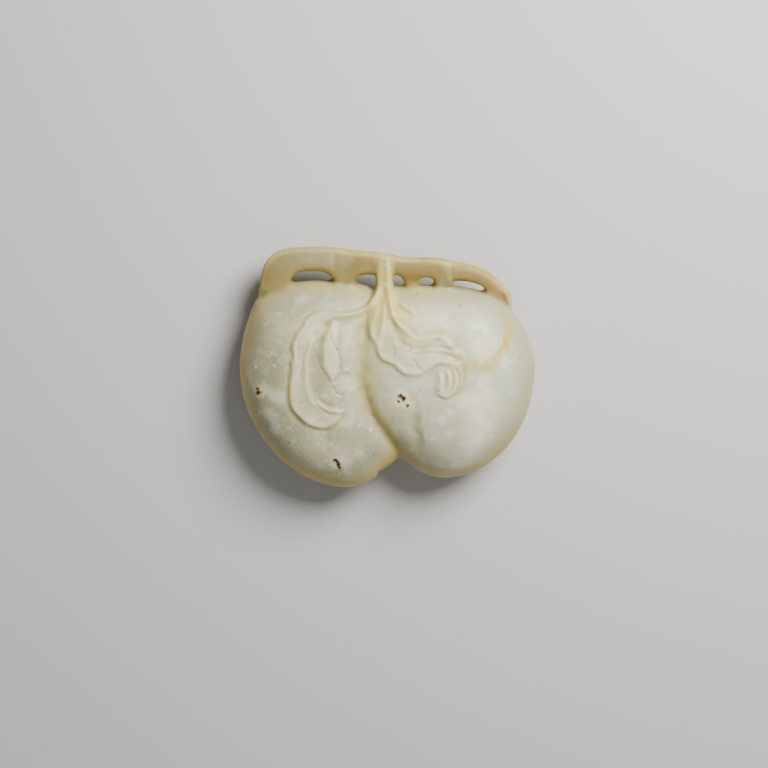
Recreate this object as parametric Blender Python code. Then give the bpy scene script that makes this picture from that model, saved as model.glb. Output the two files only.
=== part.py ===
"""Jade carving of two peaches hanging from one branch, at its real size.

One piece of nephrite, carved in the round and pierced under the branch. It lies on its
back on two small ground spots, with the carved front facing +Z, the branch towards +Y
and the peaches side by side along X. Units are metres.

The plan, which is what shows from the front, is drawn in hundredths of the carving's
width, with x to the right and y towards the branch. Depths are real sizes.
"""

import math

import bmesh
import bpy
import numpy as np

# Driving sizes, in metres
CARVING_WIDTH = 0.062
LEFT_FRONT_BULGE = 0.0094
RIGHT_FRONT_BULGE = 0.0100
BACK_BULGE = 0.0085
REST_SPOT_DEPTH = 0.0003
BRANCH_THICKNESS = 0.0062
BRANCH_ROUNDING = 0.0009
STALK_RADIUS = 0.0008
STALK_TIP_RADIUS = 0.0004
STUB_RADIUS = 0.0010
STEM_RELIEF = 0.0013
STEM_ROOT_DEPTH = 0.0022
LEAF_RELIEF = 0.0006
LEAF_ROOT_DEPTH = 0.0014
CLEFT_WIDTH = 0.0024
CLEFT_DEPTH = 0.0004
CLEAR_OF_STONE = 0.010

# Share of its radius that a round twig is sunk in the stone below half
TWIG_SUNK_SHARE = 0.35
# Share of its relief that a form has sunk by at its end, and of its depth that the cleft's
# cutter has risen by at its ends
RELIEF_END_SINK = 1.2
CLEFT_END_LIFT = 0.6

# How full a peach's side is: 2 is an ellipse, and more is fuller towards the rim
PEACH_FULLNESS = 2.6

# Facets
PEACH_FACETS_ROUND = 50
PEACH_FACETS_DEEP = 28
BRANCH_STEPS = 3
SLOT_POINTS = 20
LEAF_FACETS_LONG = 24
STEM_FACETS_LONG = 12
EDGE_STEPS = 8
TWIG_STEPS = 3
TWIG_ROUND_STEPS = 2
CLEFT_STEPS = 4
CLEFT_ROUND_STEPS = 6
EASING_PASSES = 4
SHARP_ANGLE = math.radians(35)
WELD_DISTANCE = 1e-6

# The plan, in hundredths of the carving's width. A peach's rim is drawn as its reach from
# the peach's middle in equal steps of direction, from +X round towards +Y.
LEFT_PEACH_MIDDLE = (-24.3, -5.6)
LEFT_PEACH_REACHES = [
    25.8, 26.9, 31.0, 37.1, 36.0, 34.6, 35.1, 34.1, 29.4, 26.9,
    25.2, 24.7, 25.1, 26.6, 28.9, 32.4, 36.6, 37.4, 36.8, 28.5,
]
RIGHT_PEACH_MIDDLE = (19.2, -4.6)
RIGHT_PEACH_REACHES = [
    30.5, 32.2, 33.9, 33.3, 32.0, 32.6, 36.0, 41.5, 41.7,
    40.5, 37.4, 32.0, 29.7, 32.2, 32.3, 31.7, 30.9, 30.2,
]
# The lower edge of the branch, from (37.4, 18.5) round to (-39.5, 20.7), is inside the peaches
BRANCH_OUTLINE = [
    (-43.4, 22.7), (-42.5, 28.1), (-41.4, 33.9), (-39.2, 37.2), (-35.1, 39.5), (-29.4, 40.2),
    (-19.3, 40.2), (-11.8, 39.3), (-3.7, 38.5), (1.0, 37.9), (5.7, 36.9), (15.8, 36.6),
    (21.9, 35.6), (28.6, 34.2), (33.4, 32.4), (37.4, 29.1), (40.8, 25.4), (41.9, 23.1),
    (41.6, 20.4), (37.4, 18.5), (11.1, 20.7), (-29.4, 21.4), (-39.5, 20.7),
]
# Each slot as its left end, right end, lower edge, upper edge and slope. The peaches fill
# the lower edges again.
SLOTS = [
    (-32.3, -18.7, 25.6, 32.7, 0.0),
    (-10.7, 5.2, 24.9, 31.1, 0.0),
    (10.0, 15.8, 26.0, 30.4, 0.0),
    (21.8, 33.0, 25.0, 29.4, -0.28),
]
SLOT_SQUARENESS = 2.4
# The stem spreads like a fan between its two edges, drawn from the branch down
STEM = (
    [(-1.4, 37.4), (-2.3, 34.9), (-3.3, 31.5), (-3.8, 27.8), (-4.6, 24.8), (-5.6, 22.6)],
    [(0.7, 37.4), (1.3, 34.9), (1.6, 31.5), (1.9, 27.8), (2.5, 24.8), (3.0, 20.9)],
)
LEFT_STALK = [(-2.4, 30.2), (-3.7, 25.4), (-6.1, 21.4), (-9.5, 19.2), (-13.5, 18.5)]
MIDDLE_STALK = [(-0.1, 26.4), (-2.0, 21.9), (-3.9, 16.7), (-4.9, 11.3), (-5.3, 5.9)]
RIGHT_STALK = [(0.4, 29.5), (1.2, 24.5), (1.7, 20.5), (1.9, 17.0)]
STUB = [(20.2, 35.4), (20.4, 32.2), (20.2, 28.8), (19.2, 25.0)]
CLEFT = [(7.8, -6.2), (9.2, -13.7), (10.9, -20.4), (13.2, -26.2), (15.0, -30.0)]

# A leaf is the patch between its two edges, both drawn from the stalk to the tip
LEAVES = {
    "long_leaf": (
        [(-7.1, 19.5), (-11.8, 18.7), (-22.0, 19.2), (-26.3, 17.2), (-29.7, 13.0), (-31.6, 7.6),
         (-32.0, 2.5), (-33.6, -8.6), (-32.4, -14.0), (-29.4, -17.9), (-25.0, -20.4),
         (-19.9, -20.6), (-16.6, -18.8), (-14.7, -15.1)],
        [(-7.1, 18.3), (-10.5, 17.0), (-17.2, 15.8), (-20.3, 14.0), (-22.3, 10.6), (-23.1, 6.9),
         (-24.3, 3.2), (-24.9, -5.9), (-23.7, -9.6), (-21.6, -11.8), (-18.9, -13.1),
         (-16.9, -13.6), (-15.6, -13.9), (-14.6, -14.1)],
    ),
    "small_leaf": (
        [(-17.9, 15.9), (-22.0, 7.6), (-21.6, -0.5), (-18.6, -5.9)],
        [(-16.9, 15.9), (-16.8, 7.9), (-15.6, 0.5), (-17.8, -5.9)],
    ),
    "upper_blade": (
        [(1.6, 18.4), (5.7, 14.3), (10.4, 10.9), (15.8, 11.7), (20.5, 9.8), (25.0, 5.4)],
        [(0.9, 17.2), (2.8, 11.6), (6.7, 7.2), (12.4, 6.6), (17.8, 7.9), (24.4, 4.7)],
    ),
    "curled_blade": (
        [(0.7, 16.0), (1.7, 11.9), (3.3, 8.2), (6.0, 5.8), (9.4, 4.5), (17.2, 4.5), (20.9, 4.3),
         (23.4, 2.7), (25.1, -0.2), (25.8, -3.6), (25.1, -7.0), (22.9, -9.3), (19.9, -10.5)],
        [(-1.6, 15.7), (-3.7, 11.3), (-4.1, 6.5), (-2.4, 2.5), (0.6, 0.8), (7.4, -3.3),
         (10.4, -3.4), (13.5, -2.0), (16.5, -0.1), (18.9, 0.1), (18.2, -2.9), (16.8, -5.9),
         (17.0, -8.9)],
    ),
}
# Heights across, as (share of the way across, share of the relief). A leaf has a raised edge
# on each side of a sunk midrib, and the stem has a thin ridge and a thick one.
LEAF_SECTION = [(0.0, 0.45), (0.14, 1.0), (0.34, 0.85), (0.5, 0.25), (0.66, 0.85), (0.86, 1.0),
                (1.0, 0.45)]
STEM_SECTION = [(0.0, 0.2), (0.13, 0.75), (0.34, 0.6), (0.52, 0.5), (0.68, 0.95), (0.86, 1.0),
                (1.0, 0.2)]
# Share of its length over which a form in relief sinks into the stone at its end
STEM_FADE = 0.35
LEAF_FADE = 0.06

HUNDREDTH = CARVING_WIDTH / 100
BRANCH_FRONT = BRANCH_THICKNESS / 2


def clear_scene():
    for obj in list(bpy.data.objects):
        bpy.data.objects.remove(obj)


def in_metres(points):
    """Plan points as an array of metres."""
    return np.array(points, float) * HUNDREDTH


def catmull_rom(a, b, c, d, t):
    """Value at the share t of the way from b to c, easing through the four values."""
    return 0.5 * (2 * b + (c - a) * t + (2 * a - 5 * b + 4 * c - d) * t**2
                  + (3 * b - a - 3 * c + d) * t**3)


def smooth_curve(points, steps, closed=False):
    """A smooth curve through the points, with this many steps to each span."""
    knots = np.array(points, float)
    if closed:
        knots = np.vstack([knots[-1], knots, knots[:2]])
    else:
        knots = np.vstack([2 * knots[0] - knots[1], knots, 2 * knots[-1] - knots[-2]])
    t = np.linspace(0, 1, steps, endpoint=False)[:, None]
    curve = np.vstack([catmull_rom(*span, t) for span in zip(knots, knots[1:], knots[2:], knots[3:])])
    return curve if closed else np.vstack([curve, knots[-2]])


class Peach:
    """One peach: a dome on each side of the mid plane, over a rounded outline."""

    def __init__(self, middle, reaches, bulge):
        self.middle = in_metres(middle)
        self.reaches = in_metres(reaches)
        self.bulge = bulge

    def reach(self, angle):
        """Distance from the middle to the rim in a direction."""
        count = len(self.reaches)
        place = angle / (2 * math.pi) * count
        step = np.floor(place).astype(int)
        around = [self.reaches[(step + shift) % count] for shift in (-1, 0, 1, 2)]
        return catmull_rom(*around, place - step)

    def height(self, x, y):
        """Height of the front dome above the mid plane, and 0 outside the rim."""
        dx = x - self.middle[0]
        dy = y - self.middle[1]
        share = np.hypot(dx, dy) / self.reach(np.arctan2(dy, dx))
        return self.bulge * np.sqrt(np.clip(1 - share**PEACH_FULLNESS, 0, 1))


LEFT_PEACH = Peach(LEFT_PEACH_MIDDLE, LEFT_PEACH_REACHES, LEFT_FRONT_BULGE)
RIGHT_PEACH = Peach(RIGHT_PEACH_MIDDLE, RIGHT_PEACH_REACHES, RIGHT_FRONT_BULGE)


def front_height(x, y):
    """The peaches' front surface above the mid plane."""
    return np.maximum(LEFT_PEACH.height(x, y), RIGHT_PEACH.height(x, y))


def new_object(name, mesh, collection):
    obj = bpy.data.objects.new(name, mesh)
    collection.objects.link(obj)
    return obj


def mesh_from_bmesh(name, bm):
    mesh = bpy.data.meshes.new(name)
    bm.to_mesh(mesh)
    bm.free()
    return mesh


def peach_object(name, peach, collection):
    """A ball pushed out to the peach's outline and domes."""
    bm = bmesh.new()
    bmesh.ops.create_uvsphere(bm, u_segments=PEACH_FACETS_ROUND, v_segments=PEACH_FACETS_DEEP, radius=1.0)
    for vert in bm.verts:
        x, y, z = vert.co
        angle = math.atan2(y, x)
        out = peach.reach(angle) * math.hypot(x, y) ** (2 / PEACH_FULLNESS)
        vert.co.x = peach.middle[0] + out * math.cos(angle)
        vert.co.y = peach.middle[1] + out * math.sin(angle)
        vert.co.z = z * (peach.bulge if z > 0 else BACK_BULGE)
    return new_object(name, mesh_from_bmesh(name, bm), collection)


def mesh_of_curve(obj, collection):
    """The curve object as a mesh with its caps welded on, in the curve's place."""
    graph = bpy.context.evaluated_depsgraph_get()
    mesh = bpy.data.meshes.new_from_object(obj.evaluated_get(graph))
    bm = bmesh.new()
    bm.from_mesh(mesh)
    bmesh.ops.remove_doubles(bm, verts=bm.verts, dist=WELD_DISTANCE)
    bmesh.ops.recalc_face_normals(bm, faces=bm.faces)
    bm.to_mesh(mesh)
    bm.free()
    solid = new_object(obj.name + "_solid", mesh, collection)
    solid.matrix_world = obj.matrix_world
    bpy.data.objects.remove(obj)
    return solid


def add_loop(curve, loop):
    """A closed spline of the flat curve."""
    spline = curve.splines.new("POLY")
    spline.points.add(len(loop) - 1)
    for point, (x, y) in zip(spline.points, loop):
        point.co = (x, y, 0, 1)
    spline.use_cyclic_u = True


def slot_loop(left, right, low, high, slope):
    """A slot's outline: an oval with full corners, sheared to its slope."""
    angles = np.linspace(0, 2 * math.pi, SLOT_POINTS, endpoint=False)
    round_x, round_y = np.cos(angles), np.sin(angles)
    x = (right - left) / 2 * np.sign(round_x) * np.abs(round_x) ** (2 / SLOT_SQUARENESS)
    y = (high - low) / 2 * np.sign(round_y) * np.abs(round_y) ** (2 / SLOT_SQUARENESS)
    return in_metres(np.column_stack([x + (left + right) / 2, y + (low + high) / 2 + slope * x]))


def branch_object(collection):
    """The branch as a thick flat twig, with the slots that were sawn through under it."""
    curve = bpy.data.curves.new("branch", "CURVE")
    curve.dimensions = "2D"
    curve.fill_mode = "BOTH"
    add_loop(curve, smooth_curve(in_metres(BRANCH_OUTLINE), BRANCH_STEPS, closed=True))
    for slot in SLOTS:
        add_loop(curve, slot_loop(*slot))
    curve.extrude = BRANCH_FRONT - BRANCH_ROUNDING
    curve.bevel_depth = BRANCH_ROUNDING
    curve.bevel_resolution = 1
    curve.offset = -BRANCH_ROUNDING
    return mesh_of_curve(new_object("branch", curve, collection), collection)


def ground_along(route):
    """Heights of the stone along a route, eased where the peaches rise behind the branch."""
    ground = np.maximum(front_height(route[:, 0], route[:, 1]), BRANCH_FRONT)
    for _ in range(EASING_PASSES):
        ground[1:-1] = (ground[:-2] + 2 * ground[1:-1] + ground[2:]) / 4
    return ground


def rod_object(name, route, heights, widths, round_steps, collection):
    """A round rod along a route, with its own height and radius at each point."""
    curve = bpy.data.curves.new(name, "CURVE")
    curve.dimensions = "3D"
    curve.bevel_depth = 1.0
    curve.bevel_resolution = round_steps
    curve.use_fill_caps = True
    spline = curve.splines.new("POLY")
    spline.points.add(len(route) - 1)
    for point, (x, y), z, width in zip(spline.points, route, heights, widths):
        point.co = (x, y, z, 1)
        point.radius = width
    return mesh_of_curve(new_object(name, curve, collection), collection)


def twig_object(name, points, first_radius, last_radius, collection):
    """A round twig along plan points, a little more than half sunk in the stone it crosses."""
    route = smooth_curve(in_metres(points), TWIG_STEPS)
    widths = np.linspace(first_radius, last_radius, len(route))
    heights = ground_along(route) - TWIG_SUNK_SHARE * widths
    return rod_object(name, route, heights, widths, TWIG_ROUND_STEPS, collection)


def relief_object(name, edges, section, relief, depth, fade, facets_long, bridge, collection):
    """A form in relief: a grid laid between two edges over the stone, and rooted in it.

    Over its last share, the fade, it sinks into the stone. A bridge also spans the hollow
    where the peaches rise behind the branch.
    """
    sides = [smooth_curve(in_metres(edge), EDGE_STEPS) for edge in edges]
    places = np.linspace(0, 1, len(sides[0]))
    span = ground_along((sides[0] + sides[1]) / 2) if bridge else np.zeros(len(places))
    across = len(section) - 1
    shares, heights = zip(*section)
    bm = bmesh.new()
    bmesh.ops.create_grid(bm, x_segments=facets_long, y_segments=across, size=1.0)
    for vert in bm.verts:
        along = (vert.co.x + 1) / 2
        step = round((vert.co.y + 1) / 2 * across)
        first, last = [np.array([np.interp(along, places, side[:, k]) for k in (0, 1)]) for side in sides]
        x, y = first + (last - first) * shares[step]
        base = max(front_height(x, y), np.interp(along, places, span))
        sunk = RELIEF_END_SINK * max(0, 1 - (1 - along) / fade) ** 2
        vert.co = (x, y, base + relief * (heights[step] - sunk))
    root = bmesh.ops.extrude_face_region(bm, geom=bm.faces[:])
    for vert in root["geom"]:
        if isinstance(vert, bmesh.types.BMVert):
            vert.co.z -= depth
    bmesh.ops.recalc_face_normals(bm, faces=bm.faces)
    return new_object(name, mesh_from_bmesh(name, bm), collection)


def cleft_object(collection):
    """The cutter of the right peach's shallow cleft: a fat rod that sinks into the skin
    halfway along and comes out again at both ends."""
    route = smooth_curve(in_metres(CLEFT), CLEFT_STEPS)
    x, y = route.T
    step = HUNDREDTH / 2
    slope_x = (front_height(x + step, y) - front_height(x - step, y)) / (2 * step)
    slope_y = (front_height(x, y + step) - front_height(x, y - step)) / (2 * step)
    outward = np.stack([-slope_x, -slope_y, np.ones(len(route))], axis=1)
    outward /= np.linalg.norm(outward, axis=1)[:, None]
    radius = ((CLEFT_WIDTH / 2) ** 2 + CLEFT_DEPTH**2) / (2 * CLEFT_DEPTH)
    swell = np.sin(np.linspace(0, math.pi, len(route)))
    sinks = CLEFT_DEPTH * ((1 + CLEFT_END_LIFT) * swell - CLEFT_END_LIFT)
    middles = np.column_stack([route, front_height(x, y)]) + outward * (radius - sinks)[:, None]
    widths = np.full(len(route), radius)
    return rod_object("cleft", middles[:, :2], middles[:, 2], widths, CLEFT_ROUND_STEPS, collection)


def ground_object(collection):
    """The flat stone that the back is ground on: everything below the rest spots."""
    side = CARVING_WIDTH + 2 * CLEAR_OF_STONE
    top = REST_SPOT_DEPTH - BACK_BULGE
    bm = bmesh.new()
    bmesh.ops.create_cube(bm, size=1.0)
    bmesh.ops.scale(bm, vec=(side, side, CLEAR_OF_STONE), verts=bm.verts)
    bmesh.ops.translate(bm, vec=(0, 0, top - CLEAR_OF_STONE / 2), verts=bm.verts)
    return new_object("ground", mesh_from_bmesh("ground", bm), collection)


def jade():
    material = bpy.data.materials.new("pale_jade")
    material.use_nodes = True
    shader = material.node_tree.nodes["Principled BSDF"]
    shader.inputs["Base Color"].default_value = (0.60, 0.57, 0.44, 1)
    shader.inputs["Roughness"].default_value = 0.32
    shader.inputs["Metallic"].default_value = 0.0
    shader.inputs["Subsurface Weight"].default_value = 0.5
    shader.inputs["Subsurface Radius"].default_value = (0.003, 0.003, 0.002)
    return material


def add_boolean(stone, other, operation):
    step = stone.modifiers.new(other.name, "BOOLEAN")
    step.object = other
    step.operation = operation
    step.solver = "EXACT"


def main():
    clear_scene()
    shown = bpy.data.collections.new("jade_carving")
    helpers = bpy.data.collections.new("cutters")
    bpy.context.scene.collection.children.link(shown)
    bpy.context.scene.collection.children.link(helpers)

    stone = peach_object("peach_carving", LEFT_PEACH, shown)
    joined = [
        peach_object("right_peach", RIGHT_PEACH, helpers),
        branch_object(helpers),
        relief_object("stem", STEM, STEM_SECTION, STEM_RELIEF, STEM_ROOT_DEPTH, STEM_FADE,
                      STEM_FACETS_LONG, True, helpers),
        twig_object("left_stalk", LEFT_STALK, STALK_RADIUS, STALK_RADIUS, helpers),
        twig_object("middle_stalk", MIDDLE_STALK, STALK_RADIUS, STALK_TIP_RADIUS, helpers),
        twig_object("right_stalk", RIGHT_STALK, STALK_RADIUS, STALK_TIP_RADIUS, helpers),
        twig_object("stub", STUB, STUB_RADIUS, STUB_RADIUS, helpers),
    ]
    for name, edges in LEAVES.items():
        joined.append(relief_object(name, edges, LEAF_SECTION, LEAF_RELIEF, LEAF_ROOT_DEPTH, LEAF_FADE,
                                    LEAF_FACETS_LONG, False, helpers))
    cut = [cleft_object(helpers), ground_object(helpers)]
    for helper in joined:
        add_boolean(stone, helper, "UNION")
    for helper in cut:
        add_boolean(stone, helper, "DIFFERENCE")
    for helper in joined + cut:
        helper.hide_render = True
        helper.display_type = "WIRE"

    stone.data.materials.append(jade())
    stone.data.shade_smooth()
    stone.data.set_sharp_from_angle(angle=SHARP_ANGLE)
    place_on_back(stone, joined + cut)


def place_on_back(stone, helpers):
    """Sets the carving down with the middle of its plan at the origin and its back at z 0."""
    graph = bpy.context.evaluated_depsgraph_get()
    mesh = stone.evaluated_get(graph).to_mesh()
    points = np.array([vert.co for vert in mesh.vertices])
    low, high = points.min(axis=0), points.max(axis=0)
    holder = bpy.data.objects.new("carving_place", None)
    bpy.context.scene.collection.objects.link(holder)
    for obj in [stone] + helpers:
        obj.parent = holder
    holder.location = (-(low[0] + high[0]) / 2, -(low[1] + high[1]) / 2, -low[2])


main()
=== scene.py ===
import math
import bpy
import numpy as np
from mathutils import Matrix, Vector


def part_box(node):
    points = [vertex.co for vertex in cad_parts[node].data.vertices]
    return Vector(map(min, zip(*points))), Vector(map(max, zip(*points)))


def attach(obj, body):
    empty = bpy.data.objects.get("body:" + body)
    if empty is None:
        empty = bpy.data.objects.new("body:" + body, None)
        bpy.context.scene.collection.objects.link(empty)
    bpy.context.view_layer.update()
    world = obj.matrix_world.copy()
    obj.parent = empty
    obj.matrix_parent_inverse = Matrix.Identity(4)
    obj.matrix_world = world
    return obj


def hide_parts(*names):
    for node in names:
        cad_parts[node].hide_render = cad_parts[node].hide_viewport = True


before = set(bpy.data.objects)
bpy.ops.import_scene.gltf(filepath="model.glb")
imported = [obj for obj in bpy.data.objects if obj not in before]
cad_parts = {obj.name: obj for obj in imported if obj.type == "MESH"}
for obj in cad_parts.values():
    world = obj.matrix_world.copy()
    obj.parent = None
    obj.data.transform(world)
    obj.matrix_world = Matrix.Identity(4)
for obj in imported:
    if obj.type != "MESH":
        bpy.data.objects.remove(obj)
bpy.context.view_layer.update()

low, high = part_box("peach_carving")
hundredth = (high.x - low.x) / 100        # the plan is drawn in hundredths of the carving's width
mm = 0.001
backBulge = 8.5 * mm
restDepth = 0.3 * mm                      # how far the backs are worn flat
midPlane = low.z + backBulge - restDepth

print("frame loaded, carving", round((high.x - low.x) / mm, 1), "mm wide")


# where the camera stands, because the carving is drawn as it is seen from there

studio = {
    "floor": (0.62, 0.61, 0.59),
    "aim": (-0.00065, -0.0035, 0.01),
    "distance": 0.445,
    "tilt": 8,                  # degrees towards the top of the picture
    "lens": 100,
    "sensor": 36,
    "floorSize": 1.2,
    "room": (0.8, 0.8, 0.8, 1),
    "roomStrength": 0.2,
    # each light's name, place, size, power and colour
    "lights": [("key", (0.16, 0.2, 0.26), 0.20, 2.95, (1.0, 0.98, 0.95)),
               ("fill", (0.05, -0.32, 0.4), 0.5, 0.35, (0.97, 0.98, 1.0))],
}
lean = math.radians(studio["tilt"])
cameraSpot = np.array(studio["aim"]) + studio["distance"] * np.array([0, math.sin(lean),
                                                                      math.cos(lean)])


# small helpers for numbers

def smoothCurve(points, steps, closed=False):
    # Catmull-Rom: each span is a cubic from knot to knot that leaves each of them along the line
    # between that knot's two neighbours
    knots = np.array(points, float)
    if closed:
        knots = np.vstack([knots[-1], knots, knots[:2]])
    else:
        knots = np.vstack([2 * knots[0] - knots[1], knots, 2 * knots[-1] - knots[-2]])
    a, b, c, d = (knots[i:len(knots) - 3 + i, None, :] for i in range(4))
    t = np.linspace(0, 1, steps, endpoint=False)[None, :, None]
    curve = 0.5 * (2 * b + (c - a) * t + (2 * a - 5 * b + 4 * c - d) * t**2
                   + (3 * b - a - 3 * c + d) * t**3)
    curve = curve.reshape(-1, knots.shape[1])
    return curve if closed else np.vstack([curve, knots[-2]])


def easeStep(start, end, value):
    # 0 before start, 1 after end, and 3t^2 - 2t^3 between them
    t = np.clip((value - start) / (end - start), 0, 1)
    return t * t * (3 - 2 * t)


def powerSign(value, power):
    # keeps the sign and raises the size to the power
    return np.sign(value) * np.abs(value)**power


def fall(distance, width):
    # 1 on the spot, and exp(-(distance / width)^2) further off
    return np.exp(-(distance / width)**2)


def softPatches(x, y, patches):
    # sum over the patches of amount * exp(-(dx / wide)^2 - (dy / tall)^2)
    total = np.zeros(len(x))
    for spotX, spotY, wide, tall, amount in patches:
        total += amount * fall(x - spotX, wide) * fall(y - spotY, tall)
    return total


def fromTable(value, table):
    # straight from one pair of the table to the next
    return np.interp(value, *np.array(table).T)


farAway = 99.0              # the distance given to points out of reach


def nearestOnLine(x, y, line, reach):
    # distance to the nearest of the line's straight bits, and how far along the line that is,
    # from 0 to 1; points outside the line's box plus reach are far away
    dist = np.full(len(x), farAway)
    share = np.zeros(len(x))
    near = np.flatnonzero((x > line[:, 0].min() - reach) & (x < line[:, 0].max() + reach)
                          & (y > line[:, 1].min() - reach) & (y < line[:, 1].max() + reach))
    a, step = line[:-1], np.diff(line, axis=0)
    length = np.hypot(step[:, 0], step[:, 1])
    along = np.concatenate([[0], np.cumsum(length)])
    dx = x[near, None] - a[None, :, 0]
    dy = y[near, None] - a[None, :, 1]
    t = np.clip((dx * step[:, 0] + dy * step[:, 1]) / length**2, 0, 1)
    gap = np.hypot(dx - t * step[:, 0], dy - t * step[:, 1])
    best = gap.argmin(1)
    row = np.arange(len(near))
    dist[near] = gap[row, best]
    share[near] = (along[best] + t[row, best] * length[best]) / along[-1]
    return dist, share


def depthInside(x, y, loop, reach):
    # distance to the loop, positive inside it (a ray to the right crosses it an odd number of
    # times) and negative outside
    closed = np.vstack([loop, loop[:1]])
    dist = nearestOnLine(x, y, closed, reach)[0]
    near = np.flatnonzero(dist < farAway)
    ax, ay = closed[:-1, 0], closed[:-1, 1]
    bx, by = closed[1:, 0], closed[1:, 1]
    px, py = x[near, None], y[near, None]
    flat = np.where(by == ay, 1e-9, by - ay)
    crosses = ((ay > py) != (by > py)) & (px < ax + (py - ay) * (bx - ax) / flat)
    inside = np.zeros(len(x), bool)
    inside[near] = crosses.sum(1) % 2 == 1
    return np.where(inside, dist, -dist)


# small helpers for meshes

def ringSurface(rings):
    # rings is rows x columns x 3: quads between neighbouring rows, each row closed round, and
    # the first and last rows filled with a fan of triangles to their middles
    rows, columns = rings.shape[:2]
    points = np.vstack([rings.reshape(-1, 3), rings[0].mean(0), rings[-1].mean(0)])
    i, j = np.meshgrid(np.arange(rows - 1), np.arange(columns), indexing="ij")
    k = (j + 1) % columns
    quads = np.stack([i * columns + j, i * columns + k, (i + 1) * columns + k,
                      (i + 1) * columns + j], -1).reshape(-1, 4)
    j = np.arange(columns)
    k = (j + 1) % columns
    first = np.stack([k, j, np.full(columns, rows * columns)], -1)
    last = np.stack([j, k, np.full(columns, 1)], -1) + (rows - 1) * columns
    last[:, 2] = rows * columns + 1
    return points, quads.tolist() + first.tolist() + last.tolist()


def putMesh(name, points, faces):
    mesh = bpy.data.meshes.new(name)
    mesh.from_pydata(points.tolist(), [], faces)
    mesh.update()
    obj = bpy.data.objects.new(name, mesh)
    bpy.context.scene.collection.objects.link(obj)
    return obj


def pull(rows, name, width=1, kind=float):
    # one value, or a row of width values, from each member of a mesh's list
    values = np.empty(len(rows) * width, kind)
    rows.foreach_get(name, values)
    return values if width == 1 else values.reshape(-1, width)


def settleModifiers(obj):
    # the mesh takes the shape its modifiers give, and they go
    settled = obj.evaluated_get(bpy.context.evaluated_depsgraph_get())
    shaped = bpy.data.meshes.new_from_object(settled)
    obj.modifiers.clear()
    old = obj.data
    obj.data = shaped
    bpy.data.meshes.remove(old)


# the two peaches

peachForm = {
    "fullness": 2.6,            # 2 is an ellipse, more is fuller towards the rim
    "around": 360,
    "over": 120,
    "left": {
        "middle": (-24.3, -5.6),
        "bulge": 9.4,
        "outline": [
            (-43.6, 23.1), (-47, 15.3), (-49, 7.2), (-49.7, -0.2), (-49, -8.3), (-46.6, -16.4),
            (-42.3, -24.3), (-35.9, -31.9), (-27.3, -37.9), (-18, -41), (-10.7, -41.1),
            (-5.4, -39), (-0.2, -34.6), (4.4, -30.6), (5.7, -24.5), (3.7, -17.1), (1.7, -9),
            (1.3, 1.8), (1, 10.9), (-0.4, 20), (-4.1, 25.9), (-10.8, 28.3), (-17.6, 29),
            (-24.3, 29.1), (-31.4, 28.4), (-38.5, 26.5)],
    },
    "right": {
        "middle": (19.2, -4.6),
        "bulge": 10.0,
        "outline": [
            (50, -0.9), (48.4, 7.6), (45.4, 14.4), (40.9, 20.2), (34.7, 24.4), (27.3, 26.6),
            (19.5, 27.4), (11.1, 27.6), (3.7, 27.3), (-3.1, 26.9), (-9.5, 25), (-15.6, 18.7),
            (-19.6, 10.6), (-21.6, 1.8), (-20.3, -9), (-14.5, -19.1), (-6.1, -24.8), (1, -28.4),
            (5, -31.3), (9.9, -35.2), (16.5, -37.8), (23.8, -37.6), (31.6, -34.9), (38.9, -29.4),
            (44.3, -22.3), (48, -13.7)],
    },
}


def peachReach(side, angle):
    # distance from the peach's middle to its drawn outline in a direction, in plan units
    rim = smoothCurve(side["outline"], 12, closed=True) - side["middle"]
    around = np.arctan2(rim[:, 1], rim[:, 0])
    order = np.argsort(around)
    return np.interp(angle, around[order], np.hypot(rim[:, 0], rim[:, 1])[order],
                     period=2 * math.pi)


def peachShare(side, x, y):
    # 0 at the peach's middle and 1 at its rim, in plan units
    dx, dy = x - side["middle"][0], y - side["middle"][1]
    return np.hypot(dx, dy) / peachReach(side, np.arctan2(dy, dx))


def peachHeight(side, x, y):
    # height of the front over the mid plane: bulge * sqrt(1 - share^fullness)
    share = peachShare(side, x, y)
    return side["bulge"] * mm * np.sqrt(np.clip(1 - share**peachForm["fullness"], 0, 1))


def frontHeight(x, y, lowest):
    # the higher of the two peaches' fronts over the mid plane, and lowest (in mm) beside them
    height = np.maximum(peachHeight(peachForm["left"], x, y), peachHeight(peachForm["right"], x, y))
    return np.maximum(height, lowest * mm)


def nearerShare(x, y):
    # the smaller of the two peaches' shares: 0 at either middle and 1 at the rim of the pair
    return np.minimum(peachShare(peachForm["left"], x, y), peachShare(peachForm["right"], x, y))


def peachStone(side):
    # a ball pushed out to the outline: going round by angle a and over by angle v, the distance
    # from the middle is reach(a) * sin(v)^(2 / fullness) and the height is bulge * cos(v); the
    # back is cut off flat where the carving has worn a spot to lie on
    a = np.linspace(0, 2 * math.pi, peachForm["around"], endpoint=False)
    v = np.linspace(0, math.pi, peachForm["over"] + 1)[1:-1, None]
    out = peachReach(side, a) * np.sin(v)**(2 / peachForm["fullness"]) * hundredth
    rise = np.where(np.cos(v) > 0, side["bulge"] * mm, backBulge) * np.cos(v)
    rise = np.maximum(rise, restDepth - backBulge)
    rings = np.stack([side["middle"][0] * hundredth + out * np.cos(a),
                      side["middle"][1] * hundredth + out * np.sin(a),
                      np.broadcast_to(rise, out.shape)], -1)
    return ringSurface(rings[::-1])


stones = [putMesh(name + "_peach", *peachStone(peachForm[name])) for name in ("left", "right")]
print("peaches", [len(stone.data.vertices) for stone in stones])


# the branch over them, with its pierced slots

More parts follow.
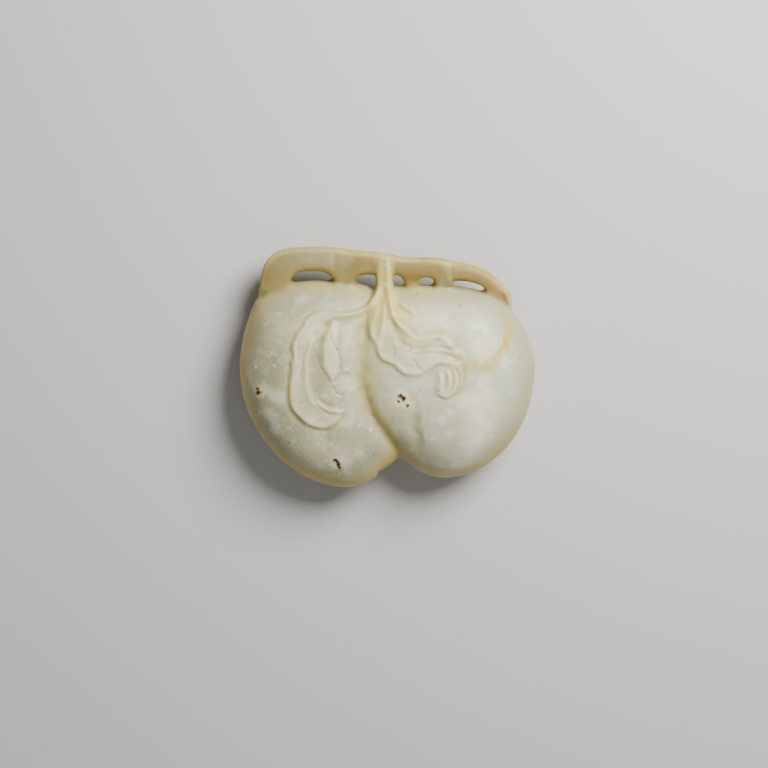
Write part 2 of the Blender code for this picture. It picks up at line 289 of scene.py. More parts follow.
branchForm = {
    "steps": 10,
    "around": 40,
    "squareness": 4.6,
    # half the thickness in mm at shares of the way from the left end to the right
    "thick": [(0, 1.6), (0.06, 2.8), (0.14, 3.1), (0.66, 3.1), (0.86, 2.8), (1, 2.4)],
    "upper": [
        (-43.5, 22.7), (-42.6, 28.1), (-41.4, 33.9), (-39.2, 37.2), (-35.1, 39.5), (-29.4, 40.2),
        (-19.3, 40.2), (-11.8, 39.3), (-3.7, 38.5), (1, 37.9), (5.7, 36.9), (15.8, 36.6),
        (21.9, 35.6), (28.6, 34.2), (33.4, 32.4), (37.4, 29.1), (40.8, 25.4), (41.9, 23.1),
        (41.6, 20.4)],
    "lower": [
        (-36, 18), (-35.5, 20), (-34.5, 21), (-33, 21.2), (-31.5, 21.4), (-28, 21.4), (-19, 21.4),
        (-11.5, 21.2), (-3.9, 21), (0.6, 20.8), (5, 20.7), (14, 20.6), (19.5, 20.3), (25, 20),
        (29, 19.4), (32.5, 18.6), (35.5, 17.6), (37, 17), (38, 16.5)],
    # each slot's outline; the peaches fill the lower parts of the first three again
    "slots": [
        [(-32.4, 29), (-31.7, 30.6), (-30, 31.9), (-27.3, 32.4), (-23, 32.5), (-20.4, 31.8),
         (-18.7, 30.6), (-17.7, 28.9), (-17.7, 26.6), (-22, 26.2), (-28.5, 26), (-32.2, 26.2)],
        [(-10.9, 29.2), (-10.3, 30.5), (-8.8, 31.05), (-4, 31.3), (0.5, 31.4), (3.1, 31.2),
         (5, 30.1), (5.9, 28.1), (5.9, 25.4), (0, 25), (-4, 25), (-7.5, 25.2),
         (-10.9, 26)],
        [(10.1, 28), (10.6, 29.4), (11.9, 30.25), (14.2, 30.25), (15.5, 29.5), (15.9, 28.1),
         (15.9, 25.8), (13, 25.4), (10.1, 25.8)],
        [(21.8, 28.3), (22.2, 29.1), (26.6, 28.95), (29.7, 28.2), (31.9, 27.3), (32.8, 26.3),
         (32.4, 24.3), (29.9, 24.4), (27.2, 24.9), (24.3, 25.3), (21.9, 25.4)],
    ],
    "halfThick": 3.1,           # where the slots' mouths are, in mm from the mid plane
    "slotFlare": 0.15,          # how much wider the slot is at its mouths, in mm
    "cutterHalf": 4,            # how far the cutter reaches from the mid plane, in mm
    "cutterRows": 17,
    "slotSteps": 5,
}


def branchBar():
    # a rounded bar carried along the branch: each section runs from the lower edge to the upper
    # edge and is a superellipse of the given squareness, thick as the list says
    upper = smoothCurve(branchForm["upper"], branchForm["steps"]) * hundredth
    lower = smoothCurve(branchForm["lower"], branchForm["steps"]) * hundredth
    s = np.linspace(0, 1, len(upper))
    thick = fromTable(s, branchForm["thick"]) * mm
    a = np.linspace(0, 2 * math.pi, branchForm["around"], endpoint=False)
    across = powerSign(np.cos(a), 2 / branchForm["squareness"])
    rise = powerSign(np.sin(a), 2 / branchForm["squareness"])
    middle, half = (upper + lower) / 2, (upper - lower) / 2
    flat = middle[:, None, :] + half[:, None, :] * across[None, :, None]
    rings = np.concatenate([flat, (thick[:, None] * rise)[..., None]], -1)
    return ringSurface(rings)


def slotCutter(slot):
    # the slot's outline carried straight through from back to front, and moved outwards along
    # its own normal by flare * (height / half the thickness)^4 towards the mouths
    loop = smoothCurve(slot[::-1], branchForm["slotSteps"], closed=True) * hundredth
    run = np.roll(loop, -1, 0) - np.roll(loop, 1, 0)
    out = np.stack([run[:, 1], -run[:, 0]], -1) / np.hypot(run[:, 0], run[:, 1])[:, None]
    reach = branchForm["cutterHalf"] * mm
    z = np.linspace(-reach, reach, branchForm["cutterRows"])[:, None, None]
    flat = loop + out * branchForm["slotFlare"] * mm * (z / (branchForm["halfThick"] * mm))**4
    return ringSurface(np.concatenate([flat, np.broadcast_to(z, flat.shape[:2] + (1,))], -1))


branch = putMesh("branch", *branchBar())
for number, slot in enumerate(branchForm["slots"]):
    cutter = putMesh("slot_cutter_" + str(number), *slotCutter(slot))
    cut = branch.modifiers.new("slot", "BOOLEAN")
    cut.operation, cut.solver, cut.object = "DIFFERENCE", "EXACT", cutter
    settleModifiers(branch)
    bpy.data.objects.remove(cutter)
stones.append(branch)
print("branch", len(branch.data.vertices))


# the stem that hangs from the branch and spreads over the peaches

stemForm = {
    "relief": 1.25,
    "root": 2.2,
    "branchFront": 3.05,        # height of the branch's front over the mid plane, in mm
    "easing": 110,              # rounds over which the ground under the stem is evened
    "steps": 12,
    "across": 24,
    "left": [
        (-2.2, 37.4), (-3.1, 35), (-3.7, 31.6), (-3.8, 27.8), (-4.8, 24.8), (-6.9, 21.2),
        (-8, 19.2)],
    "right": [
        (0.6, 37.4), (1, 35), (1.7, 31.4), (2.2, 27.6), (3.2, 24.2), (4.6, 20.8), (5.2, 18.4)],
    # height across the stem: a low flat left half and a high round right half
    "section": [
        (0, 0), (0.08, 0.5), (0.25, 0.62), (0.4, 0.48), (0.48, 0.5), (0.6, 0.88), (0.75, 1),
        (0.9, 0.85), (1, 0)],
    # share of the relief at shares of the way down
    "fade": [(0, 0.3), (0.12, 0.8), (0.3, 1), (0.55, 0.85), (0.75, 0.45), (0.9, 0.1), (1, -0.4)],
}


def stemRib():
    # a strip between two drawn edges, lifted over the ground it lies on by relief * section(across)
    # * fade(down), and closed by an underside that stands below the ground by root; the ground is
    # the higher of the branch's front and the peaches, eased along the way down
    left = smoothCurve(stemForm["left"], stemForm["steps"])
    right = smoothCurve(stemForm["right"], stemForm["steps"])
    t = np.linspace(0, 1, stemForm["across"])[None, :]
    x = left[:, :1] * (1 - t) + right[:, :1] * t
    y = left[:, 1:] * (1 - t) + right[:, 1:] * t
    ground = frontHeight(x, y, stemForm["branchFront"])
    for _ in range(stemForm["easing"]):
        ground[1:-1] = (ground[:-2] + ground[1:-1] * 2 + ground[2:]) / 4
    down = np.linspace(0, 1, len(x))[:, None]
    section = fromTable(t, stemForm["section"])
    fade = fromTable(down, stemForm["fade"])
    top = ground + stemForm["relief"] * mm * section * fade
    under = ground - stemForm["root"] * mm
    upper = np.stack([x * hundredth, y * hundredth, top], -1)
    lower = np.stack([x * hundredth, y * hundredth, under], -1)
    return ringSurface(np.concatenate([upper, lower[:, ::-1]], 1)[:, ::-1])


stones.append(putMesh("stem", *stemRib()))
print("stem", len(stones[-1].data.vertices))


# one stone: the forms grown together

stoneForm = {
    "voxel": 0.45,              # in mm
    "smoothing": 5,
    "softness": 0.5,
}


def growTogether(parts):
    # all the closed forms in one mesh, then one skin around them
    points, faces, start = [], [], 0
    for part in parts:
        mesh = part.data
        points.append(pull(mesh.vertices, "co", 3))
        faces += [[start + v for v in face.vertices] for face in mesh.polygons]
        start += len(mesh.vertices)
        bpy.data.objects.remove(part)
    stone = putMesh("peach_jade", np.vstack(points), faces)
    skin = stone.modifiers.new("skin", "REMESH")
    skin.mode, skin.voxel_size, skin.use_smooth_shade = "VOXEL", stoneForm["voxel"] * mm, True
    soften = stone.modifiers.new("soften", "SMOOTH")
    soften.factor, soften.iterations = stoneForm["softness"], stoneForm["smoothing"]
    settleModifiers(stone)
    return stone


stone = growTogether(stones)
print("one stone", len(stone.data.polygons), "faces")


# what is carved on the front

sightForm = {
    "rounds": 8,
    "branchFront": 3.0,         # in mm over the mid plane
}


def onStone(seen):
    # a point drawn as the camera sees it, in plan units, goes to where the sight line through it
    # meets the stone's front: it starts on the plane that faces the camera through the aim, and
    # is moved along the line to the height the stone has there, over and over
    seen = np.array(seen, float) * hundredth
    aim = np.array(studio["aim"])
    up = seen[:, 1] - aim[1]
    drawn = np.stack([seen[:, 0], aim[1] + up * math.cos(lean), aim[2] - up * math.sin(lean)], -1)
    spot = drawn.copy()
    for _ in range(sightForm["rounds"]):
        x, y = spot[:, 0] / hundredth, spot[:, 1] / hundredth
        height = frontHeight(x, y, sightForm["branchFront"]) + midPlane
        along = (height - cameraSpot[2]) / (drawn[:, 2] - cameraSpot[2])
        spot = cameraSpot + (drawn - cameraSpot) * along[:, None]
    return spot[:, :2] / hundredth


# the carved lines: lift in mm (a cut is below 0), half width in mm, how much it is stained, the
# share of its length over which it fades at each end, and its points in plan units
carvedLines = {
    "stalkLine": (-0.16, 0.5, 0.4, 0.1, [
        (-4.1, 24.1), (-4.8, 23.4), (-7.1, 21.2), (-9.8, 19.5), (-13.5, 18.7), (-17.4, 18.7),
        (-21.3, 19.4), (-23.7, 18.7), (-26, 17.7), (-28, 15.7)]),
    "longLeafEdge": (-0.17, 0.72, 0.4, 0.05, [
        (-28, 15.7), (-29, 13.6), (-30.6, 11.3), (-32.1, 8.2), (-32.4, 5.7), (-32.1, 3.5),
        (-32.8, 0.5), (-32.9, -2.6), (-33.3, -5.6), (-33.5, -8.6), (-33.3, -11.6), (-32.4, -14.2),
        (-30.5, -16.7), (-27.9, -19.1), (-24.9, -20.6), (-22, -21.1), (-19.3, -20.6), (-17, -19.1),
        (-15.6, -17.2), (-14.8, -15.3)]),
    "lowerLip": (-0.15, 0.42, 0.4, 0.15, [
        (-25, -11.6), (-23.4, -12.7), (-21.5, -14.5), (-19.6, -15.7), (-17.7, -16.2),
        (-16.2, -16.2), (-15.2, -15.3)]),
    "upperLip": (-0.14, 0.36, 0.35, 0.15, [
        (-24, -10.2), (-23, -11.2), (-21.1, -12.5), (-19.3, -13.4), (-17, -13.6), (-14.9, -14.5)]),
    "leafHollow": (-0.28, 1.05, 0.12, 0.15, [
        (-18.3, 15.8), (-20.1, 14.5), (-21.5, 12.3), (-22.1, 9.9), (-23.3, 7.6), (-24.2, 5.2),
        (-24.5, 1.9), (-24.7, -1.8), (-24.5, -5.2), (-23.8, -8), (-22.6, -10.3)]),
    "leafInner": (-0.1, 0.45, 0.22, 0.15, [
        (-18.6, 15.8), (-20.4, 14.3), (-21.6, 12), (-22.6, 9.4), (-24.2, 7.6), (-25.2, 5.7),
        (-25.7, 1.9), (-25.9, -1.8), (-25.8, -5.2), (-25.2, -8.6), (-24.3, -11.2)]),
    "smallLeafLow": (-0.07, 0.32, 0.3, 0.15, [
        (-24.5, 5.2), (-24.2, 4.2), (-23, 1.1), (-21.6, -1.5), (-19.9, -3.6), (-18.4, -5.3)]),
    "smallLeafRight": (-0.18, 0.4, 0.35, 0.15, [
        (-15.7, 1.1), (-15.7, -0.2), (-16.1, -1.9), (-17, -3.6), (-18.2, -5.6)]),
    "smallLeafVein": (-0.1, 0.3, 0.3, 0.15, [
        (-19.4, 12.3), (-18.9, 9.4), (-17.7, 7.2), (-17, 5.7), (-16.2, 3.5), (-15.7, 1.1)]),
    "archLine": (-0.14, 0.34, 0.35, 0.15, [
        (-16.4, 13), (-15.2, 14.5), (-13.6, 15), (-12.2, 14.3), (-11.4, 12.4), (-10.7, 9.9),
        (-10.3, 7.6)]),
    "vein1": (-0.12, 0.26, 0.3, 0.2, [
        (-27.1, 3.8), (-27, 1.8), (-27.4, -1), (-28.3, -2.9), (-29.4, -4.4)]),
    "vein2": (-0.11, 0.26, 0.26, 0.2, [
        (-30.4, 7.6), (-30.1, 5.9), (-30, 3.5), (-29.6, 1.1)]),
    "vein3": (-0.11, 0.26, 0.26, 0.2, [
        (-28.3, 5.2), (-28.2, 3.5), (-28.4, 0.5), (-29, -1.8), (-30.1, -3.5)]),
    "vein4": (-0.12, 0.3, 0.4, 0.2, [
        (-25.3, 15), (-27.5, 12.4), (-29.7, 9.4), (-30.4, 7.2)]),
    "vein5": (-0.11, 0.28, 0.3, 0.2, [
        (-23.7, 12.6), (-25.7, 9.9), (-27, 6.9), (-27.5, 4.2)]),
    "twigMark": (-0.13, 0.34, 0.6, 0.15, [
        (3, 21.1), (5.3, 19.5), (7.6, 18), (8.9, 17.3)]),
    "twigRidge": (0.34, 0.5, 0, 0.2, [
        (3.6, 21.8), (5.9, 20.3), (8.2, 18.7), (9.4, 17.9)]),
    "upperBladeEdge": (-0.2, 0.48, 0.45, 0.1, [
        (3, 17), (5.3, 14.6), (7.6, 12.8), (9.4, 11.3), (11.3, 10.8), (13.5, 11.1), (15.8, 11.5),
        (18, 11.3), (19.5, 10.8), (21.1, 9.6), (22.2, 8.3), (23.2, 6.9), (24.3, 5.2)]),
    "bladeHollow": (-0.34, 0.85, 0.55, 0.15, [
        (1.3, 17.3), (2, 14.6), (3.3, 11.6), (4.7, 8.9), (6.2, 7.6)]),
    "bladeFold": (-0.2, 0.5, 0.45, 0.15, [
        (4.9, 8.3), (7.2, 7), (9.4, 6.4), (12, 6.2), (13.5, 7), (15.4, 8.3), (16.8, 9.1),
        (18.4, 9.4)]),
    "midFold": (-0.17, 0.36, 0.5, 0.15, [
        (13.5, 6), (15.8, 6.9), (18, 6.9), (20.2, 6.2), (22.6, 5.7), (24.4, 4.5)]),
    "lowerBladeTop": (-0.18, 0.4, 0.42, 0.12, [
        (8.4, 5), (9.8, 4.5), (12, 4.8), (15, 4.8), (18, 4.5), (20.2, 4.2), (22.2, 3.5),
        (23.2, 2.3), (24, 0.5)]),
    "curlOuter": (-0.2, 0.48, 0.55, 0.12, [
        (22.6, 3.8), (23.9, 2.8), (24.8, 1.7), (25.5, -1), (25.5, -4.1), (24.8, -6.6), (23.2, -9),
        (21.4, -10.3), (19.2, -10.7), (17.3, -9.9), (16.2, -8.6)]),
    "curlInner": (-0.16, 0.4, 0.35, 0.15, [
        (13, -2), (15, -1), (16.5, 0.1), (18.4, 0.5), (20.2, 0.2), (21.8, -0.1)]),
    "lowerBladeEdge": (-0.14, 0.5, 0.42, 0.2, [
        (-3.9, 7.2), (-3.9, 6), (-3.4, 3.8), (-1.8, 1.9), (0, 1), (1.9, 0.2), (3.8, -1.5),
        (5.3, -2.7), (7.6, -3.4), (9.8, -3.3), (11.7, -2.7), (13, -2)]),
    "bladeVein1": (-0.12, 0.3, 0.3, 0.15, [
        (8.3, 3.5), (9.2, 1.9), (10.1, 0.1), (12, -1.5), (13.1, -2)]),
    "bladeVein2": (-0.08, 0.26, 0.22, 0.15, [
        (4.9, 0.8), (6.7, 0.2), (8.7, 0.5)]),
    "bladeVein3": (-0.08, 0.26, 0.2, 0.15, [
        (1.9, 7.2), (2.5, 5.7), (2.1, 3.7)]),
    "tipGlow": (-0.16, 0.5, 0.95, 0.25, [
        (22.8, 5.2), (24, 3.4), (24.8, 1.4), (25.1, -0.6)]),
    "strand1": (-0.16, 0.24, 0.3, 0.15, [
        (18.9, -0.9), (19.5, -2.9), (19.6, -5.6), (18.9, -8)]),
    "strand2": (-0.16, 0.24, 0.3, 0.15, [
        (21.1, -0.5), (22.1, -2.9), (22, -5.9), (20.9, -8.3), (19.5, -9.6)]),
    "strand3": (-0.16, 0.24, 0.3, 0.15, [
        (22.9, -0.2), (24.1, -2.9), (24, -5.6), (22.9, -8)]),
    "strandRidge1": (0.24, 0.27, 0, 0.2, [
        (17.7, -2.2), (18, -4.3), (18, -6.3), (17.4, -8)]),
    "strandRidge2": (0.26, 0.27, 0, 0.2, [
        (20.2, -1.2), (20.9, -3.2), (20.9, -6.3), (19.9, -9)]),
    "strandRidge3": (0.24, 0.27, 0, 0.2, [
        (22.4, -1.2), (23.2, -3.2), (23.2, -5.9), (22.1, -8.3)]),
    "strandRidge4": (0.22, 0.26, 0, 0.2, [
        (24.3, -0.2), (24.9, -2.6), (24.8, -5.3), (23.8, -7.3)]),
    "rimCrest": (0.22, 0.6, 0, 0.45, [
        (-3.1, 22.7), (-3.9, 18.7), (-4.8, 15.3), (-5.1, 11.3), (-5.3, 7.6)]),
    "creaseUpper": (-0.3, 1.6, 0.42, 0.25, [
        (-3.7, 23.4), (-6.2, 18.7), (-8, 14.3), (-8.9, 7.6), (-9.1, 0.8), (-8.6, -5.9),
        (-7.4, -10.6), (-5.9, -14.7)]),
    "creaseLower": (-0.2, 0.85, 0.38, 0.35, [
        (-8.2, 0), (-7.9, -5.9), (-6.9, -10.6), (-5.2, -14.9), (-2.4, -19.6), (0.9, -24.4),
        (4.1, -28.4), (5.9, -31), (8.4, -34)]),
    "cleft": (-0.32, 1.35, 0.3, 0.35, [
        (7.4, -6), (8, -11.5), (8.7, -16.5), (9.3, -20.5), (9.8, -24.5), (10.1, -28.5),
        (10.2, -32.5)]),
    "cleftEdge": (0.08, 0.6, 0, 0.4, [
        (10.2, -9.5), (11.4, -15.5), (12.4, -21.5), (13.2, -27.5)]),
    "curlTip": (0.14, 0.38, 0, 0.25, [
        (-17.9, -5.6), (-16.6, -2.6), (-13.9, -0.9), (-11.2, -1.9)]),
    "curlTipLow": (-0.12, 0.34, 0.35, 0.25, [
        (-18.6, -6.6), (-17.4, -8.6), (-15.6, -9.4), (-13.9, -8.3)]),
    "stemRidge": (0.36, 0.7, 0, 0.25, [
        (0.6, 27), (0.9, 23.2), (1.7, 19), (3, 16), (5.2, 13.6), (8.6, 11.8)]),
    "stalkStripe": (0.24, 0.48, 0, 0.25, [
        (-0.6, 24.4), (-1, 20.5), (-1.1, 16.7), (-2.1, 10.6), (-2.6, 6.5)]),
    "stalkRidge": (0.24, 0.6, 0, 0.25, [
        (-3.4, 25.6), (-5.6, 21.4), (-8.6, 18.7), (-12.5, 17.5), (-16.5, 17.4), (-20.5, 17.8)]),
    # the stain of the next line is partly painted shade in the leaves' hollow
    "hollowTop": (-0.34, 0.85, 0.45, 0.2, [
        (-19.5, 15.6), (-22.2, 12.8), (-23.8, 9.6), (-24.6, 6.6)]),
    "hollowLow": (-0.07, 0.7, 0, 0.2, [
        (-22.6, 4.2), (-23.1, -0.8), (-22.9, -5), (-21.6, -8.6)]),
    "stubRidge": (0.4, 0.95, 0, 0.35, [
        (20, 36.4), (20.5, 33), (20.9, 29.6), (21.2, 25.5)]),
    "endCap": (0.32, 0.55, 0, 0.1, [
        (39.6, 26.4), (40.9, 23.9), (41.3, 21)]),
}
drawnLines = {name: line[-1] for name, line in carvedLines.items()}
drawnLines["orangeVein"] = [
    (40.6, 13.4), (40.2, 11.2), (39.4, 7.6), (37.8, 4.9), (35.4, 2.5), (32.7, 0.8), (29.3, 0.1),
    (26.3, 0.1)]

# raised patches: outline in plan units, height in mm, width of the soft edge in mm, height of
# the rim just inside the edge, how much the inside sinks again, and how much paler it is painted,
# partly the leaves' cream colour and partly painted sheen on their polished faces
drawnPatches = {
    "longLeaf": {
        "outline": drawnLines["stalkLine"] + drawnLines["longLeafEdge"][1:]
        + drawnLines["upperLip"][::-1] + drawnLines["leafInner"][::-1]
        + [(-13.5, 16.4), (-9.5, 17.4), (-6.4, 19.3), (-4, 22.4), (-2, 26.5), (-3.2, 27)],
        "height": 0.31, "edge": 1.05, "rim": 0.16, "sink": 0.14, "leafCreamSheen": 0.38,
    },
    "smallLeaf": {
        "outline": [
            (-18.3, 15.2), (-20.6, 12), (-22, 7.6), (-21.9, 2), (-21, -1.5), (-18.4, -5.4),
            (-17, -3.6), (-15.7, 0), (-15.9, 4.5), (-17, 9), (-17.4, 13)],
        "height": 0.32, "edge": 1.5, "rim": 0.0, "sink": 0.0, "leafCreamSheen": 0.60,
    },
    "archLeaf": {
        "outline": drawnLines["archLine"] + [(-10.6, 3), (-12, -1), (-15, -2), (-15.6, 2),
                                             (-16.2, 8)],
        "height": 0.16, "edge": 1.0, "rim": 0.0, "sink": 0.0, "leafCreamSheen": 0.10,
    },
    "blades": {
        "outline": drawnLines["upperBladeEdge"] + [(25, 3.2), (25.4, 0.4), (23, -0.2)]
        + drawnLines["curlInner"][::-1] + drawnLines["lowerBladeEdge"][:0:-1]
        + [(-4.6, 8), (-6.2, 10.5), (-7.2, 14.5), (-6.8, 19), (-4.6, 24.2), (-2.4, 28),
           (1.4, 27.6), (2.4, 22)],
        "height": 0.28, "edge": 1.5, "rim": 0.14, "sink": 0.10, "leafCreamSheen": 0.30,
    },
    "strands": {
        "outline": [(17, -1.2), (20.5, 0.8), (24.9, 1.8)] + drawnLines["curlOuter"][3:]
        + [(16.8, -5.4)],
        "height": 0.26, "edge": 0.9, "rim": 0.0, "sink": 0.0, "leafCreamSheen": 0.45,
    },
}

carvingForm = {
    "fineReach": 1.0,           # faces this near a line are cut finer, in mm
    "finestReach": 0.38,
    "frontFrom": 0.2,           # faces whose normal rises less than this aren't cut finer
    "fullFront": (0.15, 0.45),  # the carving fades out where the stone turns away from the front
    "patchReach": 3.0,          # how far outside a patch its edge can be felt, in plan units
    "rimAt": 0.75,              # a patch's rim stands this far inside its edge, in mm
    "rimWidth": 0.42,
    "sinkFrom": 0.9,            # its inside sinks between these two, in mm from the edge
    "sinkTo": 2.2,
    "unevenness": 0.22,         # share by which a cut's depth wanders along it
    "stainSpread": 1.5,         # a stain is this much wider than its cut
    "handCut": 0.035,           # size of the waviness left by hand, in mm
    # the left peach lies lower beside the crease: depth and reach in mm, how it starts and ends
    # down the plan, and how it rises again across the crease, in mm
    "setBack": {"depth": 0.42, "reach": 3.2, "start": (-3, -18), "end": (-29.5, -21),
                "edge": (0.5, -0.9)},
    "creaseSlant": 0.8,         # the crease leans, so it is nearer than the distance across
    # steps across the branch's front: height in mm, and where each starts and is full
    "branchSteps": [(0.16, -17.6, -18.4), (-0.4, 21.4, 22.1)],
    # the pillar right of the stem: depth in mm, and how its sides and top ease
    "pillar": {"depth": 0.60, "left": (3.9, 6.6), "right": (11.6, 9), "top": (32.5, 28.5)},
    "stemDimple": (-0.7, 35.9, 0.7, 0.3),      # x, y and radius in plan units, depth in mm
    "pits": [
        (-43.6, -8.6), (-42.6, -8.6), (4.5, -9.8), (5.4, -10.8), (6.9, -12.9), (-17.3, -31.7),
        (-16.5, -32.8)],
    # radius and depth of each pit in mm
    "pitSizes": [
        (0.6, 0.28), (0.3, 0.12), (0.5, 0.25), (0.6, 0.28), (0.35, 0.15), (0.5, 0.25), (0.5, 0.25)],
    "chip": (-2.3, -36.2, 0.75, 0.5),    # in the left peach's rim: x, y, radius and depth in mm
}

mmPerUnit = hundredth / mm
curves = {name: onStone(smoothCurve(line, 6)) for name, line in drawnLines.items()}


def readMesh(mesh):
    # places, each corner's vertex and edge, each edge's ends, each face's first corner and count
    corners, faces = mesh.loops, mesh.polygons
    return (pull(mesh.vertices, "co", 3), pull(corners, "vertex_index", kind=int),
            pull(corners, "edge_index", kind=int), pull(mesh.edges, "vertices", 2, int),
            pull(faces, "loop_start", kind=int), pull(faces, "loop_total", kind=int))


def writeMesh(mesh, co, corner, start):
    mesh.clear_geometry()
    mesh.vertices.add(len(co))
    mesh.vertices.foreach_set("co", co.ravel())
    mesh.loops.add(len(corner))
    mesh.loops.foreach_set("vertex_index", corner.astype(np.int32))
    mesh.polygons.add(len(start))
    mesh.polygons.foreach_set("loop_start", start.astype(np.int32))
    mesh.update(calc_edges=True)
    mesh.validate()
    mesh.shade_smooth()


def refineFaces(mesh, pick):
    # each picked four-sided face becomes four, with new points halfway along its edges and at
    # its middle; the faces beside it take the new edge points into their own outlines
    co, corner, cornerEdge, ends, start, total = readMesh(mesh)
    pick = pick & (total == 4)
    face = np.repeat(np.arange(len(total)), total)
    split = np.zeros(len(ends), bool)
    split[cornerEdge[pick[face]]] = True
    midpoint = np.full(len(ends), -1)
    midpoint[split] = len(co) + np.arange(split.sum())
    chosen = np.flatnonzero(pick)
    quad = start[chosen][:, None] + np.arange(4)
    middle = len(co) + split.sum() + np.arange(len(chosen))
    points = np.vstack([co, co[ends[split]].mean(1), co[corner[quad]].mean(1)])
    edgeMid = midpoint[cornerEdge[quad]]
    small = np.stack([corner[quad], edgeMid, np.repeat(middle[:, None], 4, 1),
                      np.roll(edgeMid, 1, 1)], -1).reshape(-1, 4)
    kept = ~pick[face]
    keptCorner, keptEdge = corner[kept], cornerEdge[kept]
    width = 1 + split[keptEdge]
    place = np.concatenate([[0], np.cumsum(width)])
    ragged = np.empty(place[-1], int)
    ragged[place[:-1]] = keptCorner
    extra = split[keptEdge]
    ragged[place[:-1][extra] + 1] = midpoint[keptEdge[extra]]
    keptTotal = total[~pick]
    keptStart = place[np.concatenate([[0], np.cumsum(keptTotal)])[:-1]]
    newStart = np.concatenate([keptStart, len(ragged) + 4 * np.arange(len(small))])
    writeMesh(mesh, points, np.concatenate([ragged, small.ravel()]), newStart)
    return len(small)


def nearCarving(x, y, front, reach):
    # which points lie on the front within reach of any carved line
    near = np.zeros(len(x), bool)
    at = np.flatnonzero(front)
    for name in carvedLines:
        dist = nearestOnLine(x[at], y[at], curves[name], reach / mmPerUnit)[0]
        near[at] |= dist * mmPerUnit < reach
    for (px, py), (radius, _) in zip(onStone(carvingForm["pits"]), carvingForm["pitSizes"]):
        near[at] |= np.hypot(x[at] - px, y[at] - py) * mmPerUnit < reach + radius
    return near


for reach in (carvingForm["fineReach"], carvingForm["finestReach"]):
    middle = pull(stone.data.polygons, "center", 3)
    normal = pull(stone.data.polygons, "normal", 3)
    front = (normal[:, 2] > carvingForm["frontFrom"]) & (middle[:, 2] > 0)
    pick = nearCarving(middle[:, 0] / hundredth, middle[:, 1] / hundredth, front, reach)
    added = refineFaces(stone.data, pick)
    print("finer faces near the carving", added)


def besideCrease(x, y):
    # how far right of the lower crease a point lies, in mm: (x - crease's x) * slant
    line = curves["creaseLower"][::-1]
    across = x - np.interp(y, line[:, 1], line[:, 0])
    return across * mmPerUnit * carvingForm["creaseSlant"]


def offPeaches(x, y):
    # 0 on the peaches and 1 on the branch
    return easeStep(0.975, 1.02, nearerShare(x, y)) * easeStep(18, 22, y)


def patchLift(x, y):
    # each patch rises by height over its soft edge, has a rim of rim * exp(-((in - at) / width)^2)
    # just inside it, and sinks again further in; also returns how much paler the patches are
    # painted, partly their cream colour and partly painted sheen
    lift, leafCreamSheen = np.zeros(len(x)), np.zeros(len(x))
    for patch in drawnPatches.values():
        loop = onStone(smoothCurve(patch["outline"], 4, closed=True))
        inside = depthInside(x, y, loop, carvingForm["patchReach"]) * mmPerUnit
        lift += patch["height"] * easeStep(-patch["edge"] / 2, patch["edge"] / 2, inside)
        lift += patch["rim"] * fall(inside - carvingForm["rimAt"], carvingForm["rimWidth"])
        lift -= patch["sink"] * easeStep(carvingForm["sinkFrom"], carvingForm["sinkTo"], inside)
        pale = patch["leafCreamSheen"] * easeStep(0, carvingForm["sinkFrom"], inside)
        leafCreamSheen = np.maximum(leafCreamSheen, pale)
    return lift, leafCreamSheen


def lineLift(x, y):
    # each line is cut or raised by rise * exp(-(distance / half width)^2), uneven along it and
    # fading at its ends; also returns how stained the lines are, each over a wider band
    lift, stain = np.zeros(len(x)), np.zeros(len(x))
    uneven = 1 + carvingForm["unevenness"] * np.sin(0.8 * x + 1.9 * np.sin(0.6 * y))
    for name, (rise, halfWidth, stained, fade, _) in carvedLines.items():
        dist, share = nearestOnLine(x, y, curves[name], 4 * halfWidth / mmPerUnit)
        ends = easeStep(0, fade, share + 0.02) * easeStep(0, fade, 1.02 - share)
        lift += rise * uneven * ends * fall(dist * mmPerUnit, halfWidth)
        wide = fall(dist * mmPerUnit, halfWidth * carvingForm["stainSpread"])
        stain = np.maximum(stain, stained * uneven * ends * wide)
    return lift, stain


def setBackDepth(x, y):
    # below the notch of the leaves the right peach stands in front of the left one, which is
    # lower by depth * exp(-(beside / reach)^2) there
    form = carvingForm["setBack"]
    beside = besideCrease(x, y)
    along = easeStep(*form["start"], y) * easeStep(*form["end"], y)
    return form["depth"] * along * easeStep(*form["edge"], beside) * fall(beside, form["reach"])


def branchLift(x, y):
    # the steps across the branch's front and the deep pillar, each eased at its sides, and the
    # dimple at the stem's top
    pillar = carvingForm["pillar"]
    lift = -pillar["depth"] * (easeStep(*pillar["left"], x) * easeStep(*pillar["right"], x)
                               * easeStep(*pillar["top"], y))
    for height, start, full in carvingForm["branchSteps"]:
        lift += height * easeStep(start, full, x)
    dimpleX, dimpleY, radius, depth = carvingForm["stemDimple"]
    return lift * offPeaches(x, y) - depth * fall(np.hypot(x - dimpleX, y - dimpleY), radius)


def pitDepth(x, y):
    # ragged pits: depth * exp(-(distance / (0.6 * radius))^4), the distance shaken round the pit
    depths = np.zeros(len(x))
    for (px, py), (radius, depth) in zip(onStone(carvingForm["pits"]), carvingForm["pitSizes"]):
        apart = np.hypot(x - px, (y - py) * 0.8) * mmPerUnit
        ragged = apart * (1 + 0.35 * np.sin(7 * np.arctan2(y - py, x - px)))
        depths += depth * np.exp(-(ragged / (radius * 0.6))**4)
    return depths


